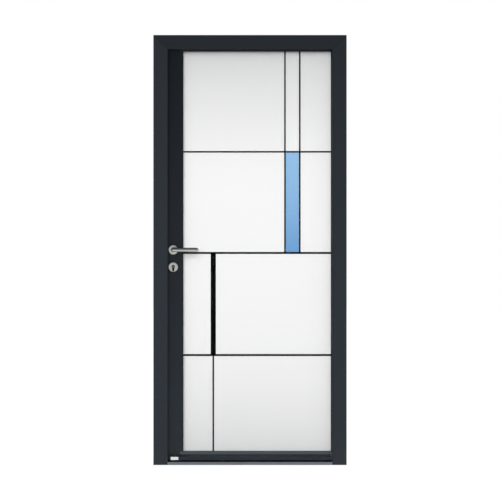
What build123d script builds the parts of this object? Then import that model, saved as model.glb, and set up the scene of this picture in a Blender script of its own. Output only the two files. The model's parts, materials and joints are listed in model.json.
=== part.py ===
from build123d import *
import os

# Front door in its aluminium frame, opening inwards, seen from outside with the lock on the left.
# X runs along the wall from the lock side to the hinge side, Y from outside to inside, Z upwards.
# Pieces are drawn with Y measured from the frame's outer face, and set on the frame's centre at the end.
# All sizes are in millimetres.

# Frame
frame_width = 980.0
frame_height = 2180.0
frame_depth = 90.0
frame_face = 72.0
frame_body = 30.0
flange_depth = 25.0
frame_outer_shell = 34.0
frame_inner_shell = 34.0
shell_wall = 2.0

# Gaps round the closed leaf
edge_gap = 5.0
seal_gap = 5.0
bottom_gap = 5.0

# Threshold
threshold_height = 20.0
threshold_nose = 8.0
threshold_outer_depth = 42.0
threshold_break_depth = 18.0
threshold_wall = 2.5

# Leaf, with each width measured from the leaf's edge to the glass that shows
lock_stile_width = 116.0
hinge_stile_width = 43.5
top_rail_width = 46.0
bottom_rail_width = 44.0
leaf_outer_shell = 16.0
leaf_inner_shell = 32.0
lip_thickness = 2.5
glass_cover = 14.0
glass_edge_gap = 3.0
ledge_rise = 8.0
ledge_gasket = 1.0

# Polyamide strips between the shells
strip_thickness = 2.0
strip_inset = 3.0

# Glazed unit
glass_setback = 7.0
pane_thickness = 6.0
spacer_width = 8.0
spacer_inset = 2.0
leaded_pane_thickness = 4.0
came_flange = 1.0
came_grip = 3.0
border_came = 11.0
pane_play = 0.2
gasket_width = 9.0
bead_depth = 10.5
bead_gasket = 2.5
bead_wall = 1.5
bead_round = 3.0
block_length = 100.0

# Bars of the leaded panel: heights above the floor, places across the door, and face widths
high_bar_z = 1590.0
middle_bar_z = 1075.0
low_bar_z = 555.0
first_upright_x = 178.0
second_upright_x = 253.5
broad_upright_x = -187.0
thin_bar = 8.0
medium_bar = 10.0
broad_bar = 26.0

# Seals
seal_width = 8.0
seal_inset = 3.0
seal_play = 0.3

# Drip bar on the foot of the leaf
drip_height = 28.0
drip_depth = 24.0
drip_rise = 11.0
drip_wall = 2.0
drip_end_gap = 10.0
drip_below_leaf = 1.5
cap_thickness = 2.5

# Lock furniture
handle_height = 1091.0
handle_backset = 65.0
cylinder_spacing = 85.0
rose_diameter = 48.0
rose_thickness = 9.0
rose_edge = 1.8
lever_diameter = 22.0
lever_reach = 130.0
lever_projection = 58.0
lever_neck = 19.0
lever_bend = 16.5
collar_gap = 1.0
neck_play = 0.2
hole_play = 1.0
spindle_size = 8.0
spindle_play = 0.1
spindle_grip = 29.0

# Lock
case_thickness = 16.0
case_length = 84.0
case_above_handle = 90.0
case_below_cylinder = 34.0
case_wall = 1.5
faceplate_width = 22.0
faceplate_thickness = 3.0
faceplate_flat = 1.0
faceplate_low = 190.0
faceplate_high = 1990.0
bolt_play = 0.3
bolt_thickness = 12.0
latch_rise = 34.0
latch_height = 28.0
latch_length = 47.0
latch_throw = 12.0
latch_nose = 2.0
deadbolt_drop = 43.0
deadbolt_height = 30.0
deadbolt_length = 46.0
deadbolt_edge = 1.0
follower_radius = 13.0
follower_sleeve = 9.0

# Hook bolts and the rods that drive them
lower_hook_z = 400.0
upper_hook_z = 1700.0
hook_pivot_inset = 14.0
hook_reach = 34.0
hook_width = 15.0
hook_thickness = 8.0
hook_throat = 17.5
hook_throat_radius = 5.6
hook_pin = 4.0
hook_case_half_height = 52.0
hook_case_length = 32.0
rod_width = 12.0
rod_thickness = 3.0
rod_travel = 12.0

# Cylinder
cylinder_setback = 3.0
cylinder_proud = 5.0
cylinder_radius = 8.5
cylinder_web = 10.0
cylinder_height = 33.0
plug_radius = 6.5
plug_play = 0.05
cam_width = 9.6
cam_room = 10.0
cam_ring = 1.5
cam_reach = 14.5
cam_bridge_drop = 16.5
keyway_width = 2.6
keyway_height = 8.5
keyway_depth = 22.0

# Keeps in the lock jamb
keep_width = 24.0
keep_thickness = 2.0
keep_margin = 14.0
keep_round = 4.0
keep_play = 1.0
pocket_play = 2.0

# Hinges
hinge_heights = (250.0, 1090.0, 1930.0)
hinge_length = 110.0
knuckle_radius = 9.0
pin_radius = 5.0
pin_head = 2.0
hinge_play = 0.05
knuckle_gap = 0.5
door_knuckle = 40.0
hinge_standoff = 11.0
hinge_plate = 4.0
frame_plate_width = 20.0
door_plate_width = 46.0
plate_clearance = 10.0

# Holes for the screws that hold the frame in the wall
fixing_hole = 8.0
outer_fixing_heights = (250.0, 1930.0)
inner_fixing_heights = (800.0, 1380.0)

# Corner cleats
cleat_leg = 80.0
cleat_play = 0.3

# How far a cutting shape runs past the face that it cuts
cut_past = 1.0

# Worked-out places
half_width = frame_width / 2
lock_edge = -half_width + frame_body + edge_gap
hinge_edge = half_width - frame_body - edge_gap
leaf_top = frame_height - frame_body - edge_gap
leaf_bottom = threshold_height + bottom_gap
leaf_face = flange_depth + seal_gap
leaf_height = leaf_top - leaf_bottom
sight_left = lock_edge + lock_stile_width
sight_right = hinge_edge - hinge_stile_width
sight_top = leaf_top - top_rail_width
sight_bottom = leaf_bottom + bottom_rail_width
glass_face = leaf_face + glass_setback
panel_thickness = leaded_pane_thickness + 2 * came_flange
bead_face = frame_depth - bead_depth
glass_back = bead_face - bead_gasket
inner_pane_face = glass_back - pane_thickness
spacer_depth = (inner_pane_face - glass_face - pane_thickness - panel_thickness) / 2
panel_face = glass_face + pane_thickness + spacer_depth
shoulder_cover = glass_cover + glass_edge_gap
lever_x = lock_edge + handle_backset
cylinder_z = handle_height - cylinder_spacing
case_front = lock_edge + faceplate_thickness
lock_depth = frame_depth - leaf_inner_shell / 2
hinge_x = (hinge_edge + half_width - frame_body) / 2
hinge_y = frame_depth + hinge_standoff


def slab(x_range, y_range, z_range):
    sizes = [span[1] - span[0] for span in (x_range, y_range, z_range)]
    middle = [(span[1] + span[0]) / 2 for span in (x_range, y_range, z_range)]
    return Pos(*middle) * Box(*sizes)


def turned_to_y(shape, x, y, z):
    """A shape drawn along +Z, laid along +Y with its foot at x, y, z."""
    return Pos(x, y, z) * Rot(-90, 0, 0) * shape


def rod(radius, length):
    return Cylinder(radius, length, align=(Align.CENTER, Align.CENTER, Align.MIN))


def bar(section, start, along, inward, length, mitre, mitred_ends):
    """A length of extrusion: its section's first axis points inward, its second into the house."""
    full = extrude(section, amount=length)
    if any(mitred_ends):
        low = mitre if mitred_ends[0] else 0
        high = length - mitre if mitred_ends[1] else length
        outline = Polygon((0, 0), (mitre, low), (mitre, high), (0, length))
        mask = Plane.XZ.location * extrude(outline, amount=-2 * frame_depth)
        full = full & mask
    return Plane(origin=start, x_dir=inward, z_dir=along).location * full


def surround(section, left, right, low, high, mitre):
    """Four mitred lengths round a rectangle, in the order left, top, right, bottom."""
    width = right - left
    height = high - low
    both = (True, True)
    return [
        bar(section, (left, 0, low), (0, 0, 1), (1, 0, 0), height, mitre, both),
        bar(section, (left, 0, high), (1, 0, 0), (0, 0, -1), width, mitre, both),
        bar(section, (right, 0, high), (0, 0, -1), (-1, 0, 0), height, mitre, both),
        bar(section, (right, 0, low), (-1, 0, 0), (0, 0, 1), width, mitre, both),
    ]


def rectangle(u_range, y_range):
    middle = Pos((u_range[0] + u_range[1]) / 2, (y_range[0] + y_range[1]) / 2)
    return middle * Rectangle(u_range[1] - u_range[0], y_range[1] - y_range[0])


def ring_frame(left, right, low, high, width, y_range):
    """A flat rectangular ring whose outside is given."""
    outside = slab((left, right), y_range, (low, high))
    inside = slab((left + width, right - width), y_range, (low + width, high - width))
    return outside - inside


def frame_outer_section():
    outline = Polygon(
        (0, 0),
        (frame_face, 0),
        (frame_face, flange_depth),
        (frame_body, flange_depth),
        (frame_body, frame_outer_shell),
        (0, frame_outer_shell),
    )
    flange_chamber = rectangle(
        (frame_body, frame_face - shell_wall), (shell_wall, flange_depth - shell_wall)
    )
    body_chamber = rectangle(
        (shell_wall, frame_body - shell_wall), (shell_wall, frame_outer_shell - shell_wall)
    )
    return outline - flange_chamber - body_chamber


def frame_inner_section():
    start = frame_depth - frame_inner_shell
    outline = rectangle((0, frame_body), (start, frame_depth))
    groove = rectangle(
        (frame_body - keep_thickness, frame_body),
        (lock_depth - keep_width / 2, lock_depth + keep_width / 2),
    )
    chamber = rectangle(
        (shell_wall, frame_body - keep_thickness - shell_wall),
        (start + shell_wall, frame_depth - shell_wall),
    )
    return outline - groove - chamber


def frame_strips_section():
    span = (frame_outer_shell, frame_depth - frame_inner_shell)
    near_wall = rectangle((strip_inset, strip_inset + strip_thickness), span)
    near_leaf = rectangle(
        (frame_body - strip_inset - strip_thickness, frame_body - strip_inset), span
    )
    return near_wall + near_leaf


def frame_seal_section():
    """A bulb that fills the gap between the frame's flange and the leaf."""
    outer = frame_face - seal_inset
    foot = rectangle((outer - seal_width, outer), (flange_depth, flange_depth + seal_gap / 2))
    touch = leaf_face - seal_play
    bulb = Polygon(
        (outer - seal_width, flange_depth + seal_gap / 2),
        (outer, flange_depth + seal_gap / 2),
        (outer - seal_width / 4, touch),
        (outer - 3 * seal_width / 4, touch),
    )
    return foot + bulb


def frame_seal():
    runs = frame_members(frame_seal_section())
    under = slab(
        (-half_width, half_width), (0, frame_depth), (-1, threshold_height + seal_play)
    )
    return runs[0] + runs[1] + runs[2] - under


def frame_members(section):
    """Lock jamb, head and hinge jamb cut from one section."""
    top_only = (False, True)
    start_only = (True, False)
    both = (True, True)
    low_left = (-half_width, 0, 0)
    high_left = (-half_width, 0, frame_height)
    high_right = (half_width, 0, frame_height)
    up, down, right, left = (0, 0, 1), (0, 0, -1), (1, 0, 0), (-1, 0, 0)
    return [
        bar(section, low_left, up, right, frame_height, frame_face, top_only),
        bar(section, high_left, right, down, frame_width, frame_face, both),
        bar(section, high_right, down, left, frame_height, frame_face, start_only),
    ]


def fixing_holes():
    heights = outer_fixing_heights + inner_fixing_heights
    drill = Rot(0, 90, 0) * Cylinder(fixing_hole / 2, frame_width + 2 * frame_body)
    return [Pos(0, lock_depth, z) * drill for z in heights]


def keep_pockets():
    """Room behind the keeps for the latch, the deadbolt and the hooks."""
    depth_range = (lock_depth - bolt_thickness / 2 - pocket_play,
                   lock_depth + bolt_thickness / 2 + pocket_play)
    across = (-half_width + shell_wall, -half_width + frame_body)
    return [slab(across, depth_range, span) for span in bolt_spans(pocket_play)]


def bolt_spans(play):
    """Height ranges of the latch, the deadbolt and the two hooks."""
    latch_z = handle_height + latch_rise
    deadbolt_z = handle_height - deadbolt_drop
    spans = [
        (latch_z - latch_height / 2 - play, latch_z + latch_height / 2 + play),
        (deadbolt_z - deadbolt_height / 2 - play, deadbolt_z + deadbolt_height / 2 + play),
    ]
    for pivot_z in (lower_hook_z, upper_hook_z):
        spans.append((pivot_z - hook_width / 2 - play, pivot_z + hook_reach + play))
    return spans


def keep(spans):
    """A flat strike plate with a window for each bolt, lying in the jamb's groove."""
    low = min(span[0] for span in spans) - keep_margin
    high = max(span[1] for span in spans) + keep_margin
    face = -half_width + frame_body
    blank = slab(
        (face - keep_thickness, face),
        (lock_depth - keep_width / 2 + bolt_play / 2, lock_depth + keep_width / 2 - bolt_play / 2),
        (low, high),
    )
    plate = fillet(blank.edges().filter_by(Axis.X), keep_round)
    half_window = bolt_thickness / 2 + pocket_play / 2
    for span in spans:
        window = (lock_depth - half_window, lock_depth + half_window)
        plate -= slab((face - 2 * keep_thickness, face + keep_thickness), window, span)
    return plate


def frame_cleats():
    """Corner blocks inside the two chambers of each mitred corner."""
    chamber_end = frame_body - keep_thickness - shell_wall - cleat_play
    start = shell_wall + cleat_play
    chambers = [
        (start, frame_outer_shell - start),
        (frame_depth - frame_inner_shell + start, frame_depth - start),
    ]
    cleats = []
    for side in (-1, 1):
        for chamber in chambers:
            upright = slab(
                ordered(side * (half_width - start), side * (half_width - chamber_end)),
                chamber,
                (frame_height - start - cleat_leg, frame_height - start),
            )
            level = slab(
                ordered(side * (half_width - start), side * (half_width - start - cleat_leg)),
                chamber,
                (frame_height - chamber_end, frame_height - start),
            )
            cleats.append(upright + level)
    return cleats


def ordered(first, second):
    return (min(first, second), max(first, second))


def threshold_section(y_range, nose):
    """Section of a threshold part in Y and Z, with a sloping nose where asked for."""
    start, end = y_range
    if nose:
        outline = Polygon(
            (start, 0),
            (end, 0),
            (end, threshold_height),
            (flange_depth, threshold_height),
            (start, threshold_nose),
        )
    else:
        outline = Polygon((start, 0), (end, 0), (end, threshold_height), (start, threshold_height))
    return outline


def threshold_part(y_range, nose=False, hollow=True):
    between_jambs = half_width - frame_body
    section = threshold_section(y_range, nose)
    if hollow:
        start = flange_depth if nose else y_range[0]
        section -= rectangle(
            (start + threshold_wall, y_range[1] - threshold_wall),
            (threshold_wall, threshold_height - threshold_wall),
        )
    along_x = Plane(origin=(-between_jambs, 0, 0), x_dir=(0, 1, 0), z_dir=(1, 0, 0)).location
    part = along_x * extrude(section, amount=2 * between_jambs)
    if nose:
        for side in (-1, 1):
            across = ordered(side * (half_width - frame_face), side * half_width)
            part -= slab(across, (-frame_depth, flange_depth), (-frame_depth, frame_depth))
    return part


def leaf_outer_section(width, ledge=False):
    """Outer shell of a stile or rail: a hollow body with a lip that covers the glass edge."""
    shoulder = width - shoulder_cover
    back = leaf_face + leaf_outer_shell
    if ledge:
        ledge_back = glass_face - ledge_gasket
        lip = [(width - ledge_rise, leaf_face), (width, ledge_back), (shoulder, ledge_back)]
    else:
        lip_back = leaf_face + lip_thickness
        lip = [(width, leaf_face), (width, lip_back), (shoulder, lip_back)]
    outline = Polygon((0, leaf_face), *lip, (shoulder, back), (0, back))
    chamber = rectangle(
        (shell_wall, shoulder - shell_wall), (leaf_face + shell_wall, back - shell_wall)
    )
    return outline - chamber


def leaf_inner_section(width):
    shoulder = width - shoulder_cover
    start = frame_depth - leaf_inner_shell
    chamber = rectangle(
        (shell_wall, shoulder - shell_wall), (start + shell_wall, frame_depth - shell_wall)
    )
    return rectangle((0, shoulder), (start, frame_depth)) - chamber


def lock_inner_section():
    """Inner shell of the lock stile, with a stepped groove for the faceplate and the rods."""
    shoulder = lock_stile_width - shoulder_cover
    start = frame_depth - leaf_inner_shell
    half_groove = faceplate_width / 2 + bolt_play / 2
    half_channel = rod_width / 2 + bolt_play
    channel_depth = faceplate_thickness + case_wall + rod_thickness + 2 * bolt_play
    groove = rectangle((0, faceplate_thickness), (lock_depth - half_groove, lock_depth + half_groove))
    channel = rectangle((0, channel_depth), (lock_depth - half_channel, lock_depth + half_channel))
    outline = rectangle((0, shoulder), (start, frame_depth))
    chamber = rectangle(
        (channel_depth + shell_wall, shoulder - shell_wall),
        (start + shell_wall, frame_depth - shell_wall),
    )
    return outline - groove - channel - chamber


def leaf_strips_section(width):
    shoulder = width - shoulder_cover
    span = (leaf_face + leaf_outer_shell, frame_depth - leaf_inner_shell)
    near_edge = rectangle((strip_inset, strip_inset + strip_thickness), span)
    near_glass = rectangle(
        (shoulder - strip_inset - strip_thickness, shoulder - strip_inset), span
    )
    return near_edge + near_glass


def leaf_bar(section, side):
    """One stile at full height, or one rail between the stiles' bodies."""
    left_body = lock_edge + lock_stile_width - shoulder_cover
    right_body = hinge_edge - hinge_stile_width + shoulder_cover
    rail_length = right_body - left_body
    square = (False, False)
    if side == "lock":
        return bar(section, (lock_edge, 0, leaf_bottom), (0, 0, 1), (1, 0, 0), leaf_height, 0, square)
    if side == "hinge":
        return bar(section, (hinge_edge, 0, leaf_top), (0, 0, -1), (-1, 0, 0), leaf_height, 0, square)
    if side == "top":
        return bar(section, (left_body, 0, leaf_top), (1, 0, 0), (0, 0, -1), rail_length, 0, square)
    return bar(section, (right_body, 0, leaf_bottom), (-1, 0, 0), (0, 0, 1), rail_length, 0, square)


def stile_lip_relief(stile):
    """Cut the stile's lip back where the rails' bodies pass behind and beside it."""
    lip_range = (leaf_face - cut_past, glass_face)
    across = (lock_edge + lock_stile_width - shoulder_cover,
              hinge_edge - hinge_stile_width + shoulder_cover)
    for span in ((leaf_bottom, sight_bottom), (sight_top, leaf_top)):
        stile -= slab(across, lip_range, span)
    return stile


def euro_profile(play):
    """Outline of the lock cylinder, upright, with its plug axis at the origin."""
    head = Circle(cylinder_radius + play)
    drop = cylinder_height - cylinder_radius - cylinder_web / 2
    web = Pos(0, -drop / 2) * Rectangle(cylinder_web + 2 * play, drop)
    foot = Pos(0, -drop) * Circle(cylinder_web / 2 + play)
    return head + web + foot


def along_y(section, x, z, y_range):
    """Extrude a section drawn as seen from outside, between two depths."""
    plane = Plane(origin=(x, y_range[0], z), x_dir=(1, 0, 0), z_dir=(0, -1, 0))
    return plane.location * extrude(section, amount=-(y_range[1] - y_range[0]))


def furniture_holes(y_range):
    """Holes through the lock stile for the spindle and the cylinder."""
    spindle = along_y(Circle(lever_neck / 2 + hole_play), lever_x, handle_height, y_range)
    cylinder = along_y(euro_profile(hole_play), lever_x, cylinder_z, y_range)
    return [spindle, cylinder]


def lock_pockets():
    """Openings in the lock stile's inner shell for the lock case and the hook cases."""
    half = case_thickness / 2 + bolt_play
    depth_range = (lock_depth - half, lock_depth + half)
    low, high = case_heights()
    main = slab(
        (lock_edge, case_front + case_length), depth_range, (low - bolt_play, high + bolt_play)
    )
    pockets = [main]
    for pivot_z in (lower_hook_z, upper_hook_z):
        span = (pivot_z - hook_case_half_height - bolt_play, pivot_z + hook_case_half_height + bolt_play)
        pockets.append(slab((lock_edge, case_front + hook_case_length), depth_range, span))
    return pockets


def case_heights():
    return (cylinder_z - case_below_cylinder, handle_height + case_above_handle)


def faceplate():
    blank = slab(
        (lock_edge, case_front),
        (lock_depth - faceplate_width / 2, lock_depth + faceplate_width / 2),
        (faceplate_low, faceplate_high),
    )
    plate = fillet(blank.edges().filter_by(Axis.X), faceplate_width / 2 - faceplate_flat)
    return cut_bolt_windows(plate, (lock_edge - cut_past, case_front + cut_past))


def cut_bolt_windows(shape, across):
    half_bolt = bolt_thickness / 2 + bolt_play
    half_hook = hook_thickness / 2 + bolt_play
    for index, span in enumerate(bolt_spans(bolt_play)):
        half = half_bolt if index < 2 else half_hook
        shape -= slab(across, (lock_depth - half, lock_depth + half), span)
    return shape


def hollow_case(across, heights):
    half = case_thickness / 2
    outside = slab(across, (lock_depth - half, lock_depth + half), heights)
    inner = half - case_wall
    inside = slab(
        (across[0] + case_wall, across[1] - case_wall),
        (lock_depth - inner, lock_depth + inner),
        (heights[0] + case_wall, heights[1] - case_wall),
    )
    return outside - inside


def rod_windows(case, across, heights):
    """Slots in a case's ends, where the drive rods pass."""
    half = rod_width / 2 + bolt_play
    return case - slab(
        (across[0] + case_wall, across[0] + case_wall + rod_thickness + 2 * bolt_play),
        (lock_depth - half, lock_depth + half),
        heights,
    )


def lock_case():
    across = (case_front, case_front + case_length)
    heights = case_heights()
    case = hollow_case(across, heights)
    case = cut_bolt_windows(case, (case_front - cut_past, case_front + 2 * case_wall))
    half = case_thickness / 2 + cut_past
    through = (lock_depth - half, lock_depth + half)
    case -= along_y(Circle(follower_sleeve + plug_play), lever_x, handle_height, through)
    case -= along_y(euro_profile(bolt_play), lever_x, cylinder_z, through)
    low, high = heights
    case = rod_windows(case, across, (high - 2 * case_wall, high + cut_past))
    return rod_windows(case, across, (low - cut_past, low + 2 * case_wall))


def hook_case(pivot_z):
    """A narrow box behind the faceplate, with the pin that the hook turns on."""
    across = (case_front, case_front + hook_case_length)
    heights = (pivot_z - hook_case_half_height, pivot_z + hook_case_half_height)
    front_wall = (case_front - cut_past, case_front + 2 * case_wall)
    case = cut_bolt_windows(hollow_case(across, heights), front_wall)
    case = rod_windows(case, across, (heights[0] - cut_past, heights[0] + 2 * case_wall))
    case = rod_windows(case, across, (heights[1] - 2 * case_wall, heights[1] + cut_past))
    half = case_thickness / 2 - case_wall
    pin = turned_to_y(rod(hook_pin, 2 * half), lock_edge + hook_pivot_inset, lock_depth - half, pivot_z)
    return case + pin


def hook(pivot_z):
    """A flat hook, drawn standing up from its pivot as it lies when unlocked."""
    nose_radius = hook_width / 2
    shank = Pos(0, (hook_reach - nose_radius) / 2) * Rectangle(hook_width, hook_reach - nose_radius)
    boss = Circle(hook_width / 2)
    nose = Pos(0, hook_reach - nose_radius) * Circle(nose_radius)
    throat = Pos(nose_radius, hook_throat) * Circle(hook_throat_radius)
    outline = boss + shank + nose - throat - Circle(hook_pin + plug_play)
    half = hook_thickness / 2
    return along_y(outline, lock_edge + hook_pivot_inset, pivot_z, (lock_depth - half, lock_depth + half))


def drive_rods():
    """Flat rods between the lock case and the hook cases, linked inside the lock."""
    start = case_front + case_wall + bolt_play
    across = (start, start + rod_thickness)
    half = rod_width / 2
    depth_range = (lock_depth - half, lock_depth + half)
    low, high = case_heights()
    upper_end = upper_hook_z - hook_case_half_height + 2 * case_wall
    lower_end = lower_hook_z + hook_case_half_height - 2 * case_wall - rod_travel
    return [
        slab(across, depth_range, (high - 2 * case_wall - rod_travel, upper_end)),
        slab(across, depth_range, (lower_end, low + 2 * case_wall)),
    ]


def latch_bolt():
    """Thrown latch with its bevel towards the outside, where it meets the keep on closing."""
    tip = lock_edge - latch_throw
    centre_z = handle_height + latch_rise
    heights = (centre_z - latch_height / 2, centre_z + latch_height / 2)
    half = bolt_thickness / 2
    outline = Polygon(
        (tip + latch_length, lock_depth - half),
        (tip + latch_length, lock_depth + half),
        (tip, lock_depth + half),
        (tip, lock_depth + half - latch_nose),
        (lock_edge - latch_nose / 2, lock_depth - half),
    )
    return Pos(0, 0, heights[0]) * extrude(outline, amount=latch_height)


def deadbolt():
    centre_z = handle_height - deadbolt_drop
    half = bolt_thickness / 2
    block = slab(
        (lock_edge, lock_edge + deadbolt_length),
        (lock_depth - half, lock_depth + half),
        (centre_z - deadbolt_height / 2, centre_z + deadbolt_height / 2),
    )
    return chamfer(block.faces().sort_by(Axis.X)[0].edges(), deadbolt_edge)


def follower():
    inner = case_thickness / 2 - case_wall - bolt_play
    thick = (lock_depth - inner, lock_depth + inner)
    disc = along_y(Circle(follower_radius), lever_x, handle_height, thick)
    half = case_thickness / 2
    through = (lock_depth - half, lock_depth + half)
    sleeve = along_y(Circle(follower_sleeve), lever_x, handle_height, through)
    side = spindle_size + 2 * spindle_play
    square = along_y(Rectangle(side, side), lever_x, handle_height, through)
    return disc + sleeve - square


def spindle_range():
    return (leaf_face - spindle_grip, frame_depth + spindle_grip)


def spindle():
    return along_y(Rectangle(spindle_size, spindle_size), lever_x, handle_height, spindle_range())


def lever():
    """A round lever drawn from its foot at the origin: out along +Z, then along +X, with a domed end."""
    radius = lever_diameter / 2
    bend = lever_bend
    height = lever_projection - radius
    neck = rod(lever_neck / 2, height - bend)
    collar_start = rose_thickness + collar_gap
    collar = Pos(0, 0, collar_start) * rod(radius, height - bend - collar_start)
    elbow_face = Pos(0, 0, height - bend) * Circle(radius)
    elbow = revolve(elbow_face, Axis((bend, 0, height - bend), (0, 1, 0)), 90)
    grip_length = lever_reach - bend - radius
    grip = Pos(bend, 0, height) * Rot(0, 90, 0) * rod(radius, grip_length)
    dome = Pos(lever_reach - radius, 0, height) * Sphere(radius)
    side = spindle_size + 2 * spindle_play
    socket = Box(side, side, 2 * (height - bend))
    return neck + collar + elbow + grip + dome - socket


def outside_lever():
    foot = Plane(origin=(lever_x, leaf_face, handle_height), x_dir=(1, 0, 0), z_dir=(0, -1, 0))
    return foot.location * lever()


def inside_lever():
    foot = Plane(origin=(lever_x, frame_depth, handle_height), x_dir=(1, 0, 0), z_dir=(0, 1, 0))
    return foot.location * lever()


def rose(hole):
    disc = chamfer(rod(rose_diameter / 2, rose_thickness).edges().sort_by(Axis.Z)[-1], rose_edge)
    return disc - extrude(hole, amount=rose_thickness)


def outside_rose(hole, z):
    return Plane(origin=(lever_x, leaf_face, z), x_dir=(1, 0, 0), z_dir=(0, -1, 0)).location * rose(hole)


def inside_rose(hole, z):
    mirrored = mirror(rose(hole), about=Plane.YZ)
    return Plane(origin=(lever_x, frame_depth, z), x_dir=(-1, 0, 0), z_dir=(0, 1, 0)).location * mirrored


def cylinder_range():
    outside_end = leaf_face - rose_thickness + cylinder_setback
    inside_end = frame_depth + rose_thickness + cylinder_proud
    return (outside_end, inside_end)


def cylinder_body():
    body = along_y(euro_profile(0), lever_x, cylinder_z, cylinder_range())
    body -= along_y(Circle(plug_radius + plug_play), lever_x, cylinder_z, cylinder_range())
    half = cam_room / 2
    above_bridge = slab(
        (lever_x - cylinder_height, lever_x + cylinder_height),
        (lock_depth - half, lock_depth + half),
        (cylinder_z - cam_bridge_drop, cylinder_z + cylinder_height),
    )
    return body - above_bridge


def plug(y_range, outside):
    """A turning plug with its keyway in the end that shows."""
    body = along_y(Circle(plug_radius), lever_x, cylinder_z, y_range)
    keyway = Pos(0, -1) * Rectangle(keyway_width, keyway_height)
    if outside:
        slot_range = (y_range[0] - cut_past, y_range[0] + keyway_depth)
    else:
        slot_range = (y_range[1] - keyway_depth, y_range[1] + cut_past)
    return body - along_y(keyway, lever_x, cylinder_z, slot_range)


def outside_plug():
    return plug((cylinder_range()[0], lock_depth - cam_room / 2), True)


def inside_plug():
    return plug((lock_depth + cam_room / 2, cylinder_range()[1]), False)


def cylinder_cam():
    """The ring between the plugs, with the bit that throws the lock pointing down."""
    ring = Circle(plug_radius + cam_ring)
    bit = Pos(0, -cam_reach / 2) * Rectangle(plug_radius, cam_reach)
    half = cam_width / 2
    cam = along_y(ring + bit, lever_x, cylinder_z, (lock_depth - half, lock_depth + half))
    return cam


def came_faces(grip):
    """The bars of the leaded panel as seen from outside, less the given grip on each side."""
    left, right = sight_left - glass_cover, sight_right + glass_cover
    low, high = sight_bottom - glass_cover, sight_top + glass_cover
    level = [(high_bar_z, thin_bar), (middle_bar_z, medium_bar), (low_bar_z, medium_bar)]
    upright = [
        (first_upright_x, thin_bar, middle_bar_z, high),
        (second_upright_x, thin_bar, middle_bar_z, high),
        (broad_upright_x, broad_bar, low_bar_z, middle_bar_z),
        (broad_upright_x, thin_bar, low, low_bar_z),
    ]
    edge = border_came - grip
    lattice = rectangle((left, right), (low, high))
    lattice -= rectangle((left + edge, right - edge), (low + edge, high - edge))
    for centre, face in level:
        half = face / 2 - grip
        lattice += rectangle((left, right), (centre - half, centre + half))
    for centre, face, start, end in upright:
        half = face / 2 - grip
        lattice += rectangle((centre - half, centre + half), (start, end))
    return lattice


def cames():
    """The lattice of H-section bars that carries the ten panes."""
    back = panel_face + panel_thickness
    front = along_y(came_faces(0), 0, 0, (panel_face, panel_face + came_flange))
    rear = along_y(came_faces(0), 0, 0, (back - came_flange, back))
    core = along_y(came_faces(came_grip), 0, 0, (panel_face, back))
    return front + core + rear


def pane_cell(across, upwards):
    """A pane between bars given as centre and face width, with play in the channels."""
    spans = []
    for low_bar, high_bar in (across, upwards):
        start = low_bar[0] + low_bar[1] / 2 - came_grip + pane_play
        end = high_bar[0] - high_bar[1] / 2 + came_grip - pane_play
        spans.append((start, end))
    y_start = panel_face + came_flange
    return slab(spans[0], (y_start, y_start + leaded_pane_thickness), spans[1])


def leaded_panes():
    """The nine white panes, and the blue one by itself."""
    edge = 2 * border_came
    left = (sight_left - glass_cover, edge)
    right = (sight_right + glass_cover, edge)
    low = (sight_bottom - glass_cover, edge)
    high = (sight_top + glass_cover, edge)
    first = (first_upright_x, thin_bar)
    second = (second_upright_x, thin_bar)
    broad = (broad_upright_x, broad_bar)
    thin = (broad_upright_x, thin_bar)
    high_bar = (high_bar_z, thin_bar)
    middle_bar = (middle_bar_z, medium_bar)
    low_bar = (low_bar_z, medium_bar)
    upper_columns = [(left, first), (first, second), (second, right)]
    white = [pane_cell(column, (high_bar, high)) for column in upper_columns]
    white.append(pane_cell((left, first), (middle_bar, high_bar)))
    white.append(pane_cell((second, right), (middle_bar, high_bar)))
    white += [pane_cell(column, (low_bar, middle_bar)) for column in [(left, broad), (broad, right)]]
    white += [pane_cell(column, (low, low_bar)) for column in [(left, thin), (thin, right)]]
    return white, pane_cell((first, second), (middle_bar, high_bar))


def full_pane(y_start, thickness):
    return slab(
        (sight_left - glass_cover, sight_right + glass_cover),
        (y_start, y_start + thickness),
        (sight_bottom - glass_cover, sight_top + glass_cover),
    )


def spacer(y_start):
    out = glass_cover - spacer_inset
    return ring_frame(
        sight_left - out,
        sight_right + out,
        sight_bottom - out,
        sight_top + out,
        spacer_width,
        (y_start, y_start + spacer_depth),
    )


def glazing_gasket(y_range):
    return ring_frame(
        sight_left - gasket_width,
        sight_right + gasket_width,
        sight_bottom - gasket_width,
        sight_top + gasket_width,
        gasket_width,
        y_range,
    )


def outer_gasket():
    """The outside gasket, thinned along the foot where the sloping ledge takes its place."""
    ring = glazing_gasket((leaf_face + lip_thickness, glass_face))
    ledge = slab(
        (lock_edge, hinge_edge),
        (leaf_face, glass_face - ledge_gasket),
        (leaf_bottom, sight_bottom),
    )
    return ring - ledge


def bead_section():
    """A hollow snap-in bead with one rounded corner beside the glass."""
    outline = rectangle((0, shoulder_cover), (bead_face, frame_depth))
    corner = outline.vertices().sort_by_distance((shoulder_cover, frame_depth, 0))[0]
    rounded = fillet(corner, bead_round)
    chamber = rectangle(
        (bead_wall, shoulder_cover - bead_round), (bead_face + bead_wall, frame_depth - bead_wall)
    )
    return rounded - chamber


def glazing_beads():
    return surround(
        bead_section(),
        sight_left - shoulder_cover,
        sight_right + shoulder_cover,
        sight_bottom - shoulder_cover,
        sight_top + shoulder_cover,
        shoulder_cover,
    )


def setting_blocks():
    """Pads that carry the glazed unit on the bottom rail."""
    heights = (sight_bottom - shoulder_cover, sight_bottom - glass_cover)
    depth_range = (glass_face, glass_back)
    blocks = []
    for side, inward in ((sight_left, 1), (sight_right, -1)):
        near = side + inward * block_length / 2
        blocks.append(slab(ordered(near, near + inward * block_length), depth_range, heights))
    return blocks


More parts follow.
